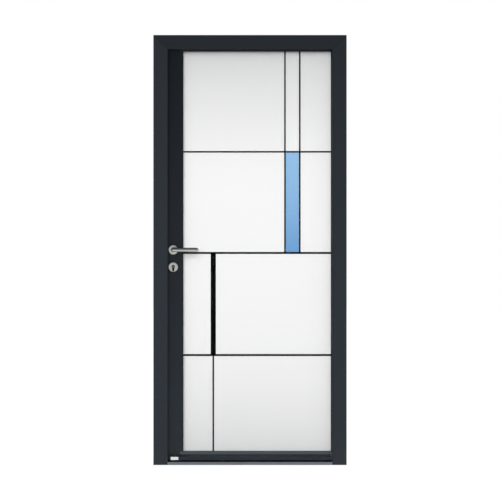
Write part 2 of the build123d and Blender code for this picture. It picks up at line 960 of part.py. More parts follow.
def drip_section():
    """Hollow weather bar with a sloping top and a drip edge, in Y and Z from the leaf's face."""
    low = leaf_bottom - drip_below_leaf
    outline = Polygon(
        (leaf_face, low + 2 * drip_wall),
        (leaf_face, low + drip_height),
        (leaf_face - 2 * drip_wall, low + drip_height),
        (leaf_face - drip_depth, low + drip_height - drip_rise),
        (leaf_face - drip_depth, low),
        (leaf_face - drip_depth + 2 * drip_wall, low),
        (leaf_face - drip_depth + 3 * drip_wall, low + 2 * drip_wall),
    )
    chamber = Polygon(
        (leaf_face - drip_wall, low + 3 * drip_wall),
        (leaf_face - drip_wall, low + drip_height - drip_wall),
        (leaf_face - 2 * drip_wall, low + drip_height - drip_wall),
        (leaf_face - drip_depth + drip_wall, low + drip_height - drip_rise - drip_wall / 2),
        (leaf_face - drip_depth + drip_wall, low + 3 * drip_wall),
    )
    return outline, chamber


def drip_length_range():
    inner_face = half_width - frame_face
    return (-inner_face + drip_end_gap, inner_face - drip_end_gap)


def drip_bar():
    outline, chamber = drip_section()
    start, end = drip_length_range()
    plane = Plane(origin=(start + cap_thickness, 0, 0), x_dir=(0, 1, 0), z_dir=(1, 0, 0))
    return plane.location * extrude(outline - chamber, amount=end - start - 2 * cap_thickness)


def drip_caps():
    outline, _ = drip_section()
    start, end = drip_length_range()
    caps = []
    for x in (start, end - cap_thickness):
        plane = Plane(origin=(x, 0, 0), x_dir=(0, 1, 0), z_dir=(1, 0, 0))
        caps.append(plane.location * extrude(outline, amount=cap_thickness))
    return caps


def bottom_seal():
    """A soft strip under the leaf that wipes the threshold."""
    middle = frame_depth - leaf_inner_shell / 2
    return slab(
        (lock_edge + seal_play, hinge_edge - seal_play),
        (middle - seal_width / 2, middle + seal_width / 2),
        (threshold_height + seal_play, leaf_bottom),
    )


def leaf_cleats():
    """Blocks in the rails' ends that carry the screws from the stiles."""
    left_body = lock_edge + lock_stile_width - shoulder_cover
    right_body = hinge_edge - hinge_stile_width + shoulder_cover
    start = shell_wall + cleat_play
    chambers = [
        (leaf_face + start, leaf_face + leaf_outer_shell - start),
        (frame_depth - leaf_inner_shell + start, frame_depth - start),
    ]
    top = (sight_top + shoulder_cover + start, leaf_top - start)
    low = (leaf_bottom + start, sight_bottom - shoulder_cover - start)
    blocks = []
    for chamber in chambers:
        for heights in (low, top):
            blocks.append(slab((left_body, left_body + cleat_leg / 2), chamber, heights))
            blocks.append(slab((right_body - cleat_leg / 2, right_body), chamber, heights))
    return blocks


def knuckle(z_range, bore):
    length = z_range[1] - z_range[0]
    return Pos(hinge_x, hinge_y, z_range[0]) * (rod(knuckle_radius, length) - rod(bore, length))


def face_room():
    """A little air between a hinge and the faces at the gap that it bridges."""
    return (frame_depth - knuckle_gap, frame_depth + knuckle_gap)


def hinge_bore():
    return pin_radius + hinge_play


def frame_hinge(z):
    """Frame half: a plate on the jamb with an upper and a lower knuckle."""
    half = hinge_length / 2
    inner = door_knuckle / 2 + knuckle_gap
    plate_start = hinge_x + plate_clearance
    half_hinge = slab(
        (plate_start, plate_start + frame_plate_width),
        (frame_depth, frame_depth + hinge_plate),
        (z - half, z + half),
    )
    for span in ((z - half, z - inner), (z + inner, z + half)):
        arm = slab((hinge_x, plate_start), (frame_depth, frame_depth + hinge_plate), span)
        cheek = slab((hinge_x, hinge_x + knuckle_radius), (frame_depth, hinge_y), span)
        bore = Pos(hinge_x, hinge_y, span[0]) * rod(hinge_bore(), span[1] - span[0])
        edge_room = slab((hinge_x, half_width - frame_body), face_room(), span)
        half_hinge += (arm + cheek + knuckle(span, hinge_bore())) - bore - edge_room
    return half_hinge


def door_hinge(z):
    """Door half: a plate on the leaf with the middle knuckle."""
    half = hinge_length / 2
    span = (z - door_knuckle / 2, z + door_knuckle / 2)
    plate_end = hinge_x - plate_clearance
    plate = slab(
        (plate_end - door_plate_width, plate_end),
        (frame_depth, frame_depth + hinge_plate),
        (z - half, z + half),
    )
    arm = slab((plate_end, hinge_x), (frame_depth, frame_depth + hinge_plate), span)
    cheek = slab((hinge_x - knuckle_radius, hinge_x), (frame_depth, hinge_y), span)
    bore = Pos(hinge_x, hinge_y, span[0]) * rod(hinge_bore(), door_knuckle)
    edge_room = slab((hinge_edge, hinge_x), face_room(), span)
    return plate + ((arm + cheek + knuckle(span, hinge_bore())) - bore - edge_room)


def hinge_pins():
    """Pins with a flat head on the top knuckle and a button under the bottom one."""
    pins = []
    for z in hinge_heights:
        low = z - hinge_length / 2
        shank = Pos(hinge_x, hinge_y, low) * rod(pin_radius, hinge_length)
        head = Pos(hinge_x, hinge_y, low + hinge_length) * rod(knuckle_radius, pin_head)
        button = Pos(hinge_x, hinge_y, low - pin_head) * rod(knuckle_radius, pin_head)
        pins.append(shank + head + button)
    return pins


def save(node, shape):
    """Set a piece, or a group of like pieces, on the frame's centre and write it."""
    solids = shape if isinstance(shape, list) else [shape]
    seat = Pos(0, -frame_depth / 2, 0)
    placed = [seat * solid for solid in solids]
    result = placed[0] if len(placed) == 1 else Compound(children=placed)
    export_step(result, f"parts/{node}.step")


def save_frame():
    outer = frame_members(frame_outer_section())
    inner = frame_members(frame_inner_section())
    for hole in fixing_holes():
        inner[0] -= hole
        inner[2] -= hole
    for pocket in keep_pockets():
        inner[0] -= pocket
    for name, outer_part, inner_part in zip(("lock_jamb", "head", "hinge_jamb"), outer, inner):
        save(f"{name}_outer", outer_part)
        save(f"{name}_inner", inner_part)
    strips = []
    for member in frame_members(frame_strips_section()):
        strips += list(member.solids())
    save("frame_thermal_breaks", strips)
    save("frame_seal", frame_seal())
    save("frame_corner_cleats", frame_cleats())
    break_end = threshold_outer_depth + threshold_break_depth
    save("threshold_outer", threshold_part((0, threshold_outer_depth), nose=True))
    save("threshold_break", threshold_part((threshold_outer_depth, break_end), hollow=False))
    save("threshold_inner", threshold_part((break_end, frame_depth)))
    spans = bolt_spans(keep_play)
    save("main_keep", keep(spans[:2]))
    save("hook_keeps", [keep(spans[2:3]), keep(spans[3:])])


def save_leaf_shells():
    lock_outer = stile_lip_relief(leaf_bar(leaf_outer_section(lock_stile_width), "lock"))
    lock_inner = leaf_bar(lock_inner_section(), "lock")
    for hole in furniture_holes((leaf_face - cut_past, leaf_face + leaf_outer_shell + cut_past)):
        lock_outer -= hole
    for hole in furniture_holes((frame_depth - leaf_inner_shell - cut_past, frame_depth + cut_past)):
        lock_inner -= hole
    for pocket in lock_pockets():
        lock_inner -= pocket
    save("lock_stile_outer", lock_outer)
    save("lock_stile_inner", lock_inner)
    hinge_outer = stile_lip_relief(leaf_bar(leaf_outer_section(hinge_stile_width), "hinge"))
    save("hinge_stile_outer", hinge_outer)
    save("hinge_stile_inner", leaf_bar(leaf_inner_section(hinge_stile_width), "hinge"))
    save("top_rail_outer", leaf_bar(leaf_outer_section(top_rail_width), "top"))
    save("top_rail_inner", leaf_bar(leaf_inner_section(top_rail_width), "top"))
    save("bottom_rail_outer", leaf_bar(leaf_outer_section(bottom_rail_width, ledge=True), "bottom"))
    save("bottom_rail_inner", leaf_bar(leaf_inner_section(bottom_rail_width), "bottom"))
    strips = []
    widths = {
        "lock": lock_stile_width,
        "hinge": hinge_stile_width,
        "top": top_rail_width,
        "bottom": bottom_rail_width,
    }
    for side, width in widths.items():
        strips += list(leaf_bar(leaf_strips_section(width), side).solids())
    save("leaf_thermal_breaks", strips)
    save("leaf_corner_cleats", leaf_cleats())


def save_glazing():
    save("outer_pane", full_pane(glass_face, pane_thickness))
    save("inner_pane", full_pane(inner_pane_face, pane_thickness))
    save("pane_spacers", [spacer(glass_face + pane_thickness), spacer(panel_face + panel_thickness)])
    white, blue = leaded_panes()
    save("white_panes", white)
    save("blue_pane", blue)
    save("glazing_cames", cames())
    save("glazing_gaskets", [outer_gasket(), glazing_gasket((glass_back, bead_face))])
    save("glazing_beads", glazing_beads())
    save("setting_blocks", setting_blocks())


def save_leaf_trim():
    save("drip_bar", drip_bar())
    save("drip_bar_caps", drip_caps())
    save("bottom_seal", bottom_seal())


def save_lock():
    save("lock_faceplate", faceplate())
    save("lock_case", lock_case())
    save("hook_cases", [hook_case(lower_hook_z), hook_case(upper_hook_z)])
    save("latch_bolt", latch_bolt())
    save("deadbolt", deadbolt())
    save("lower_hook", hook(lower_hook_z))
    save("upper_hook", hook(upper_hook_z))
    save("drive_rods", drive_rods())
    save("lock_follower", follower())


def save_furniture():
    neck_hole = Circle(lever_neck / 2 + neck_play)
    cylinder_hole = euro_profile(bolt_play)
    save("outside_lever_rose", outside_rose(neck_hole, handle_height))
    save("inside_lever_rose", inside_rose(neck_hole, handle_height))
    save("outside_cylinder_rose", outside_rose(cylinder_hole, cylinder_z))
    save("inside_cylinder_rose", inside_rose(cylinder_hole, cylinder_z))
    save("outside_lever", outside_lever())
    save("inside_lever", inside_lever())
    save("spindle", spindle())
    save("cylinder_body", cylinder_body())
    save("outside_plug", outside_plug())
    save("inside_plug", inside_plug())
    save("cylinder_cam", cylinder_cam())


def save_hinges():
    save("hinge_frame_halves", [frame_hinge(z) for z in hinge_heights])
    save("hinge_door_halves", [door_hinge(z) for z in hinge_heights])
    save("hinge_pins", hinge_pins())


os.makedirs("parts", exist_ok=True)
save_frame()
save_leaf_shells()
save_glazing()
save_leaf_trim()
save_lock()
save_furniture()
save_hinges()
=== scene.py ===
import json
import math

import bmesh
import bpy
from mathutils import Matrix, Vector
from mathutils.geometry import tessellate_polygon


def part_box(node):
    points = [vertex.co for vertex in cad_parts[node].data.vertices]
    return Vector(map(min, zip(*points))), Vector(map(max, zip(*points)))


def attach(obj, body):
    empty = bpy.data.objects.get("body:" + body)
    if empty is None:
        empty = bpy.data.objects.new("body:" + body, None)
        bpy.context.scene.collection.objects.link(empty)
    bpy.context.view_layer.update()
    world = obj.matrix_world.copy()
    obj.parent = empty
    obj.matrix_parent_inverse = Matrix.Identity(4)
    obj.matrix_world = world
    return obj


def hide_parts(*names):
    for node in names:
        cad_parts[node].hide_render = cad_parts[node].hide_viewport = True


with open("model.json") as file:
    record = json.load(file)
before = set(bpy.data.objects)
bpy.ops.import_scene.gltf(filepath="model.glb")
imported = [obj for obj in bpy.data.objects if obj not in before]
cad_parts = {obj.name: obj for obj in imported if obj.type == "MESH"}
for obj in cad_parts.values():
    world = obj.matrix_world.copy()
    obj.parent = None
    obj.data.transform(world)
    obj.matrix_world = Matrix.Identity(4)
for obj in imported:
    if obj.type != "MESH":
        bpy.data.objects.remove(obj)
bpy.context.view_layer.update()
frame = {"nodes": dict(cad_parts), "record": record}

nodes = frame["nodes"]
print("door loaded:", len(nodes), "pieces")

# The photograph is square and looks straight at the door through a long lens.
cameraView = {
    "distance": 12.0,        # from the outer face of the frame
    "eyeHeight": 1.09,
    "pictureHeight": 2.535,  # what the picture covers at the outer face
    "sensor": 36.0,
    "clipEnd": 200.0,
}


def makeCamera():
    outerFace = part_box("head_outer")[0].y
    data = bpy.data.cameras.new("doorCamera")
    data.sensor_width = cameraView["sensor"]
    data.lens = cameraView["sensor"] * cameraView["distance"] / cameraView["pictureHeight"]
    data.clip_end = cameraView["clipEnd"]
    camera = bpy.data.objects.new("doorCamera", data)
    camera.location = (0.0, outerFace - cameraView["distance"], cameraView["eyeHeight"])
    camera.rotation_euler = (math.radians(90), 0.0, 0.0)
    bpy.context.scene.collection.objects.link(camera)
    bpy.context.scene.camera = camera


makeCamera()
print("camera in place")


def addNode(tree, kind, values=None, **settings):
    node = tree.nodes.new(kind)
    for key, value in settings.items():
        setattr(node, key, value)
    for key, value in (values or {}).items():
        node.inputs[key].default_value = value
    return node


def join(tree, source, output, target, socket):
    tree.links.new(source.outputs[output], target.inputs[socket])


# A number, or a (node, output) pair, goes into each input
def mathNode(tree, operation, first, second=None, clamp=False):
    node = addNode(tree, "ShaderNodeMath", operation=operation, use_clamp=clamp)
    for index, value in enumerate((first, second)):
        if isinstance(value, tuple):
            join(tree, value[0], value[1], node, index)
        elif value is not None:
            node.inputs[index].default_value = value
    return node


def newGroup(name, kind, inputs, outputs):
    group = bpy.data.node_groups.new(name, kind)
    for label, socketType, value in inputs:
        socket = group.interface.new_socket(label, in_out="INPUT", socket_type=socketType)
        if value is not None:
            socket.default_value = value
    for label, socketType in outputs:
        group.interface.new_socket(label, in_out="OUTPUT", socket_type=socketType)
    return group, addNode(group, "NodeGroupInput"), addNode(group, "NodeGroupOutput")


number, color = "NodeSocketFloat", "NodeSocketColor"
objectSpot = {"type": "ShaderNodeTexCoord", "output": "Object"}

# A Mix node keeps sockets for every data type, so its colour and number sockets go by place
colorMix = {"first": 6, "second": 7, "result": 2}
numberMix = {"factor": 0, "first": 2, "second": 3, "result": 0}


def noiseAt(tree, scaleFrom, label, detail, stretch=None):
    spot = addNode(tree, objectSpot["type"])
    noise = addNode(tree, "ShaderNodeTexNoise", {"Detail": detail})
    if stretch is None:
        join(tree, spot, objectSpot["output"], noise, "Vector")
    else:
        turned = addNode(tree, "ShaderNodeMapping", {"Scale": stretch})
        join(tree, spot, objectSpot["output"], turned, "Vector")
        join(tree, turned, "Vector", noise, "Vector")
    join(tree, scaleFrom, label, noise, "Scale")
    return noise


# Fine orange peel of a sprayed or moulded skin: a height for Bump and a fleck for the colour
def makeSkinGrain():
    group, start, end = newGroup("skinGrain", "ShaderNodeTree", [
        ("Grain Scale", number, 900.0),
        ("Wave Scale", number, 40.0),
        ("Wave", number, 0.3),
    ], [("Height", number), ("Fleck", number)])
    grain = noiseAt(group, start, "Grain Scale", 2.0)
    wave = noiseAt(group, start, "Wave Scale", 1.0)
    height = mathNode(group, "ADD", (grain, 0), (mathNode(group, "MULTIPLY", (wave, 0), (start, "Wave")), 0))
    join(group, height, 0, end, "Height")
    join(group, grain, 0, end, "Fleck")
    return group


# Where hands and cloths have been, the gloss varies in broad patches
def makeHandling():
    group, start, end = newGroup("handling", "ShaderNodeTree", [
        ("Roughness", number, 0.5),
        ("Spread", number, 0.08),
        ("Scale", number, 5.0),
    ], [("Roughness", number)])
    patches = noiseAt(group, start, "Scale", 4.0)
    centred = mathNode(group, "SUBTRACT", (patches, 0), 0.5)
    swing = mathNode(group, "MULTIPLY", (centred, 0), (start, "Spread"))
    result = mathNode(group, "ADD", (swing, 0), (start, "Roughness"))
    join(group, result, 0, end, "Roughness")
    return group


# Dust that settles low down and thins out with height
def makeLowDust():
    group, start, end = newGroup("lowDust", "ShaderNodeTree", [
        ("Color", color, (0.0, 0.0, 0.0, 1.0)),
        ("Dust", color, (0.12, 0.115, 0.105, 1.0)),
        ("Reach", number, 0.25),
        ("Amount", number, 0.15),
        ("Scale", number, 14.0),
    ], [("Color", color), ("Mask", number)])
    spot = addNode(group, objectSpot["type"])
    parts = addNode(group, "ShaderNodeSeparateXYZ")
    join(group, spot, objectSpot["output"], parts, "Vector")
    share = mathNode(group, "DIVIDE", (parts, "Z"), (start, "Reach"))
    falling = mathNode(group, "SUBTRACT", 1.0, (share, 0), clamp=True)
    soft = mathNode(group, "POWER", (falling, 0), 2.0)
    cloud = noiseAt(group, start, "Scale", 5.0)
    speckled = mathNode(group, "MULTIPLY", (soft, 0), (cloud, 0))
    mask = mathNode(group, "MULTIPLY", (speckled, 0), (start, "Amount"))
    blend = addNode(group, "ShaderNodeMix", data_type="RGBA")
    join(group, mask, 0, blend, "Factor")
    join(group, start, "Color", blend, colorMix["first"])
    join(group, start, "Dust", blend, colorMix["second"])
    join(group, blend, colorMix["result"], end, "Color")
    join(group, mask, 0, end, "Mask")
    return group


# Fine lines left by brushing, run along the axis that Stretch squeezes
def makeBrushLines():
    group, start, end = newGroup("brushLines", "ShaderNodeTree", [
        ("Scale", number, 300.0),
        ("Roughness", number, 0.3),
        ("Spread", number, 0.15),
    ], [("Height", number), ("Roughness", number)])
    lines = noiseAt(group, start, "Scale", 3.0, stretch=(0.02, 1.0, 1.0))
    centred = mathNode(group, "SUBTRACT", (lines, 0), 0.5)
    swing = mathNode(group, "MULTIPLY", (centred, 0), (start, "Spread"))
    result = mathNode(group, "ADD", (swing, 0), (start, "Roughness"))
    join(group, lines, 0, end, "Height")
    join(group, result, 0, end, "Roughness")
    return group


# Painted shade by height: the colour drifts towards one painted shade at the head of the door and another at
# its foot
def makePaintedShadeByHeight():
    group, start, end = newGroup("paintedShadeByHeight", "ShaderNodeTree", [
        ("Color", color, (1.0, 1.0, 1.0, 1.0)),
        ("Upper Tint", color, (0.7, 0.7, 0.7, 1.0)),
        ("Upper Start", number, 1.35),
        ("Upper Span", number, 0.75),
        ("Upper Curve", number, 1.5),
        ("Lower Tint", color, (0.75, 0.75, 0.75, 1.0)),
        ("Lower Start", number, 0.85),
        ("Lower Span", number, 0.78),
        ("Lower Curve", number, 2.5),
    ], [("Color", color)])
    spot = addNode(group, objectSpot["type"])
    parts = addNode(group, "ShaderNodeSeparateXYZ")
    join(group, spot, objectSpot["output"], parts, "Vector")
    shadedSoFar = (start, "Color")
    for side, order in (("Upper", 1), ("Lower", -1)):
        near, far = ((parts, "Z"), (start, side + " Start"))[::order]
        past = mathNode(group, "SUBTRACT", near, far)
        share = mathNode(group, "DIVIDE", (past, 0), (start, side + " Span"), clamp=True)
        bent = mathNode(group, "POWER", (share, 0), (start, side + " Curve"))
        blend = addNode(group, "ShaderNodeMix", data_type="RGBA")
        join(group, bent, 0, blend, "Factor")
        join(group, *shadedSoFar, blend, colorMix["first"])
        join(group, start, side + " Tint", blend, colorMix["second"])
        shadedSoFar = (blend, colorMix["result"])
    join(group, *shadedSoFar, end, "Color")
    return group


skinGrain, handling, lowDust = makeSkinGrain(), makeHandling(), makeLowDust()
brushLines, paintedShadeByHeight = makeBrushLines(), makePaintedShadeByHeight()
print("shader groups built")


def newMaterial(name, **sockets):
    material = bpy.data.materials.new(name)
    material.use_nodes = True
    tree = material.node_tree
    shader = tree.nodes["Principled BSDF"]
    for key, value in sockets.items():
        shader.inputs[socketNames[key]].default_value = value
    return material, tree, shader


socketNames = {
    "baseColor": "Base Color", "metallic": "Metallic", "roughness": "Roughness", "ior": "IOR",
    "specular": "Specular IOR Level", "transmission": "Transmission Weight",
}


def placeGroup(tree, group, values):
    node = addNode(tree, "ShaderNodeGroup", node_tree=group)
    for key, value in values.items():
        node.inputs[key].default_value = value
    return node


def addBump(tree, shader, source, output, strength, distance):
    bump = addNode(tree, "ShaderNodeBump", {"Strength": strength, "Distance": distance})
    join(tree, source, output, bump, "Height")
    join(tree, bump, "Normal", shader, "Normal")


def opaque(rgb):
    return (*rgb, 1.0)


# Where a skin's painted top shade begins and over what height it comes in. The lower painted shade would
# begin below the floor, so it never comes in.
skinShade = {"Upper Start": 0.3, "Upper Span": 1.85, "Lower Start": -1.0}


# A coloured skin: powder coat, moulded plastic or rubber
def makeSkin(name, look):
    material, tree, shader = newMaterial(name, specular=look["specular"], metallic=0.0)
    grain = placeGroup(tree, skinGrain, {
        "Grain Scale": look["grainScale"], "Wave Scale": look["waveScale"], "Wave": look["wave"],
    })
    addBump(tree, shader, grain, "Height", look["bump"], look["bumpDepth"])
    fleck = addNode(tree, "ShaderNodeMix", data_type="RGBA")
    fleck.inputs[colorMix["first"]].default_value = opaque(look["dark"])
    fleck.inputs[colorMix["second"]].default_value = opaque(look["light"])
    join(tree, grain, "Fleck", fleck, "Factor")
    dust = placeGroup(tree, lowDust, {"Amount": look["dust"], "Reach": look["dustReach"]})
    # Painted shade: a skin with a top shade is coloured darker towards the head of the door
    if "paintedTopShade" in look:
        shade = placeGroup(tree, paintedShadeByHeight, {
            "Upper Tint": opaque(look["paintedTopShade"]), "Upper Curve": look["topCurve"], **skinShade})
        join(tree, fleck, colorMix["result"], shade, "Color")
        join(tree, shade, "Color", dust, "Color")
    else:
        join(tree, fleck, colorMix["result"], dust, "Color")
    join(tree, dust, "Color", shader, "Base Color")
    wear = placeGroup(tree, handling, {
        "Roughness": look["roughness"], "Spread": look["glossSpread"], "Scale": look["patchScale"],
    })
    join(tree, wear, "Roughness", shader, "Roughness")
    return material


def makeMetal(name, look):
    material, tree, shader = newMaterial(name, baseColor=opaque(look["color"]), metallic=1.0)
    lines = placeGroup(tree, brushLines, {
        "Scale": look["lineScale"], "Roughness": look["roughness"], "Spread": look["lineSpread"],
    })
    addBump(tree, shader, lines, "Height", look["bump"], look["bumpDepth"])
    join(tree, lines, "Roughness", shader, "Roughness")
    return material


skinLook = {
    "roughness": 0.5, "glossSpread": 0.08, "patchScale": 5.0, "grainScale": 900.0, "waveScale": 40.0,
    "wave": 0.3, "bump": 0.25, "bumpDepth": 0.0004, "dust": 0.1, "dustReach": 0.3, "specular": 0.2,
}
skins = {
    # Painted shade: a coat with a top shade is coloured darker towards the head of the door
    "anthracite_coat": {"dark": (0.0195, 0.026, 0.034), "light": (0.0295, 0.0365, 0.0455),
                        "paintedTopShade": (0.017, 0.0218, 0.0275), "topCurve": 2.0},
    # Painted shade: the head's coat is coloured darker than the jambs'
    "headPaintedShadeCoat": {"dark": (0.0098, 0.0132, 0.0178), "light": (0.0155, 0.0198, 0.0256)},
    # Painted shade: the lock stile and drip bar are coloured darker, most of all towards the head
    "shadedCoat": {"dark": (0.0155, 0.0208, 0.0268), "light": (0.0235, 0.0298, 0.0368),
                   "paintedTopShade": (0.003, 0.0052, 0.0082), "topCurve": 0.9},
    # Painted shade: the hinge jamb's coat is coloured a little darker than the lock jamb's
    "rightJambPaintedShadeCoat": {"dark": (0.0178, 0.0238, 0.0312), "light": (0.0268, 0.0338, 0.0425),
                      "paintedTopShade": (0.0135, 0.0178, 0.0228), "topCurve": 1.6},
    # Painted reflection: the sloped ledge under the glass is coloured lighter and bluer than the coat
    "ledgePaintedReflectionCoat": {"dark": (0.064, 0.082, 0.098), "light": (0.08, 0.1, 0.118)},
    "hinge_coat": {"dark": (0.014, 0.017, 0.021), "light": (0.02, 0.024, 0.029), "roughness": 0.4},
    "polyamide": {"dark": (0.012, 0.012, 0.012), "light": (0.022, 0.022, 0.022), "roughness": 0.7},
    "black_plastic": {"dark": (0.012, 0.012, 0.013), "light": (0.02, 0.02, 0.022), "roughness": 0.45},
    "black_rubber": {"dark": (0.007, 0.007, 0.008), "light": (0.013, 0.013, 0.014), "roughness": 0.8,
                     "specular": 0.2},
    "black_came": {"dark": (0.0018, 0.0018, 0.002), "light": (0.0026, 0.0026, 0.0028), "roughness": 0.6,
                   "specular": 0.02, "dust": 0.0},
    "palePlate": {"dark": (0.88, 0.88, 0.87), "light": (0.94, 0.94, 0.93), "roughness": 0.35, "dust": 0.05},
}
metalLook = {"roughness": 0.32, "lineScale": 300.0, "lineSpread": 0.15, "bump": 0.12, "bumpDepth": 0.0002}
metals = {
    "mill_aluminium": {"color": (0.62, 0.63, 0.65), "roughness": 0.42},
    "threshold_aluminium": {"color": (0.245, 0.28, 0.32), "roughness": 0.5},
    "brushed_steel": {"color": (0.5, 0.5, 0.49), "roughness": 0.38},
    "satin_steel": {"color": (0.6, 0.6, 0.59), "roughness": 0.3},
    "zinc_steel": {"color": (0.55, 0.56, 0.58), "roughness": 0.4},
    "nickel_brass": {"color": (0.4, 0.39, 0.37), "roughness": 0.28},
    # Painted shade: the plugs are coloured darker than the cylinder's nickel
    "plugPaintedShadeNickel": {"color": (0.17, 0.165, 0.16), "roughness": 0.35},
    # Painted shade: the cylinder body is coloured nearly black, for the shadow in the rose's hole
    "shadedNickel": {"color": (0.015, 0.015, 0.015), "roughness": 0.6},
}
# Painted shade on the panes: each is coloured darker towards the head and foot of the door, the blue one
# deeper blue towards its foot
paneLooks = {
    "white_satin_glass": {"color": (0.985, 0.984, 0.986), "roughness": 0.35, "shade": {
        "Upper Tint": (0.67, 0.675, 0.68, 1.0), "Lower Tint": (0.79, 0.795, 0.8, 1.0)}},
    "blue_glass": {"color": (0.272, 0.502, 0.778), "roughness": 0.3, "shade": {
        "Lower Tint": (0.122, 0.318, 0.62, 1.0), "Lower Start": 1.59, "Lower Span": 0.52, "Lower Curve": 1.6,
        "Upper Start": 3.0}},  # above the door, so the upper painted shade never comes in
}
paneFinish = {"specular": 0.25, "bump": 0.04, "bumpDepth": 0.0002,
              "grain": {"Grain Scale": 1500.0, "Wave Scale": 6.0, "Wave": 0.6}}
clearLook = {"color": (1.0, 1.0, 1.0), "roughness": 0.0, "ior": 1.04}


def makePane(name, look):
    material, tree, shader = newMaterial(
        name, specular=paneFinish["specular"], roughness=look["roughness"])
    # Painted shade: the pane's colour darkens by height
    shade = placeGroup(tree, paintedShadeByHeight, {"Color": opaque(look["color"]), **look["shade"]})
    grain = placeGroup(tree, skinGrain, paneFinish["grain"])
    addBump(tree, shader, grain, "Height", paneFinish["bump"], paneFinish["bumpDepth"])
    join(tree, shade, "Color", shader, "Base Color")
    return material


# Clear panes let the lamps through to what lies behind them
def makeClear(name, look):
    material, tree, shader = newMaterial(
        name, baseColor=opaque(look["color"]), roughness=look["roughness"], ior=look["ior"], transmission=1.0)
    output = tree.nodes["Material Output"]
    path = addNode(tree, "ShaderNodeLightPath")
    letThrough = mathNode(tree, "MAXIMUM", (path, "Is Shadow Ray"), (path, "Is Diffuse Ray"))
    clearWay = addNode(tree, "ShaderNodeBsdfTransparent")
    mix = addNode(tree, "ShaderNodeMixShader")
    join(tree, letThrough, 0, mix, 0)
    join(tree, shader, 0, mix, 1)
    join(tree, clearWay, 0, mix, 2)
    join(tree, mix, 0, output, "Surface")
    return material


materials = {name: makeSkin(name, {**skinLook, **look}) for name, look in skins.items()}
materials.update({name: makeMetal(name, {**metalLook, **look}) for name, look in metals.items()})
materials.update({name: makePane(name, look) for name, look in paneLooks.items()})
materials["clear_glass"] = makeClear("clear_glass", clearLook)

# Copies of a finish with painted shade, and for the ledge a painted reflection, for pieces that the light
# reaches more or less than it reaches the rest of their finish
ownFinishes = {
    "lock_stile_outer": "shadedCoat",
    "head_outer": "headPaintedShadeCoat",
    "hinge_jamb_outer": "rightJambPaintedShadeCoat",
    "bottom_rail_outer": "ledgePaintedReflectionCoat",
    "drip_bar": "shadedCoat",
    "cylinder_body": "shadedNickel",
    "outside_plug": "plugPaintedShadeNickel",
    "inside_plug": "plugPaintedShadeNickel",
}

for part in frame["record"]["subparts"]:
    piece = nodes[part["node"]]
    finish = ownFinishes.get(part["node"], part["material_slot"])
    for spot in piece.material_slots:
        spot.material = materials[finish]
    if not piece.material_slots:
        piece.data.materials.append(materials[finish])
print("finishes on all", len(nodes), "pieces")


# Screws: a tree for each finish sets a socket-headed screw on every point, facing as the point says
screwTreeInputs = [
    ("Head Radius", number, 0.0045),
    ("Head Height", number, 0.0022),
    ("Socket Share", number, 0.45),
    ("Socket Depth", number, 0.0016),
]
# Shares of the head's height for its wall and its crown, and how far the crown draws in
screwShape = {"sides": 18, "wallShare": 0.75, "crownShare": 0.25, "crownScale": 0.86, "weld": 0.00001}


def makeScrewTree(finish):
    tree, start, end = newGroup("screwsOnPoints_" + finish, "GeometryNodeTree",
                                [("Points", "NodeSocketGeometry", None), *screwTreeInputs],
                                [("Screws", "NodeSocketGeometry")])
    rim = addNode(tree, "GeometryNodeMeshCircle", {"Vertices": screwShape["sides"]}, fill_type="NGON")
    join(tree, start, "Head Radius", rim, "Radius")

    def raised(source, output, label, share):
        step = addNode(tree, "GeometryNodeExtrudeMesh", {"Individual": False})
        reach = mathNode(tree, "MULTIPLY", (start, label), share)
        join(tree, source, output, step, "Mesh")
        join(tree, reach, 0, step, "Offset Scale")
        return step

    def shrunk(step, value):
        scaled = addNode(tree, "GeometryNodeScaleElements")
        join(tree, step, "Mesh", scaled, "Geometry")
        join(tree, step, "Top", scaled, "Selection")
        if isinstance(value, tuple):
            join(tree, value[0], value[1], scaled, "Scale")
        else:
            scaled.inputs["Scale"].default_value = value
        return scaled

    def again(scaled, step, label, share):
        more = raised(scaled, "Geometry", label, share)
        join(tree, step, "Top", more, "Selection")
        return more

    wall = raised(rim, "Mesh", "Head Height", screwShape["wallShare"])
    crown = again(shrunk(wall, 1.0), wall, "Head Height", screwShape["crownShare"])
    crownIn = shrunk(crown, screwShape["crownScale"])
    rimStep = again(crownIn, crown, "Head Height", 0.0)
    socketRim = shrunk(rimStep, (start, "Socket Share"))
    socket = again(socketRim, rimStep, "Socket Depth", -1.0)
    under = addNode(tree, "GeometryNodeFlipFaces")
    join(tree, rim, "Mesh", under, "Mesh")
    both = addNode(tree, "GeometryNodeJoinGeometry")
    join(tree, socket, "Mesh", both, "Geometry")
    join(tree, under, "Mesh", both, "Geometry")
    closed = addNode(tree, "GeometryNodeMergeByDistance", {"Distance": screwShape["weld"]})
    join(tree, both, "Geometry", closed, "Geometry")

    facing = addNode(tree, "GeometryNodeInputNamedAttribute", {"Name": "facing"}, data_type="FLOAT_VECTOR")
    turn = addNode(tree, "FunctionNodeAlignRotationToVector")
    join(tree, facing, "Attribute", turn, "Vector")
    place = addNode(tree, "GeometryNodeInstanceOnPoints")
    join(tree, start, "Points", place, "Points")
    join(tree, closed, "Geometry", place, "Instance")
    join(tree, turn, "Rotation", place, "Rotation")
    solid = addNode(tree, "GeometryNodeRealizeInstances")
    finished = addNode(tree, "GeometryNodeSetMaterial")
    finished.inputs["Material"].default_value = materials[finish]
    join(tree, place, "Instances", solid, "Geometry")
    join(tree, solid, "Geometry", finished, "Geometry")
    join(tree, finished, "Geometry", end, "Screws")
    return tree


screwTrees = {}


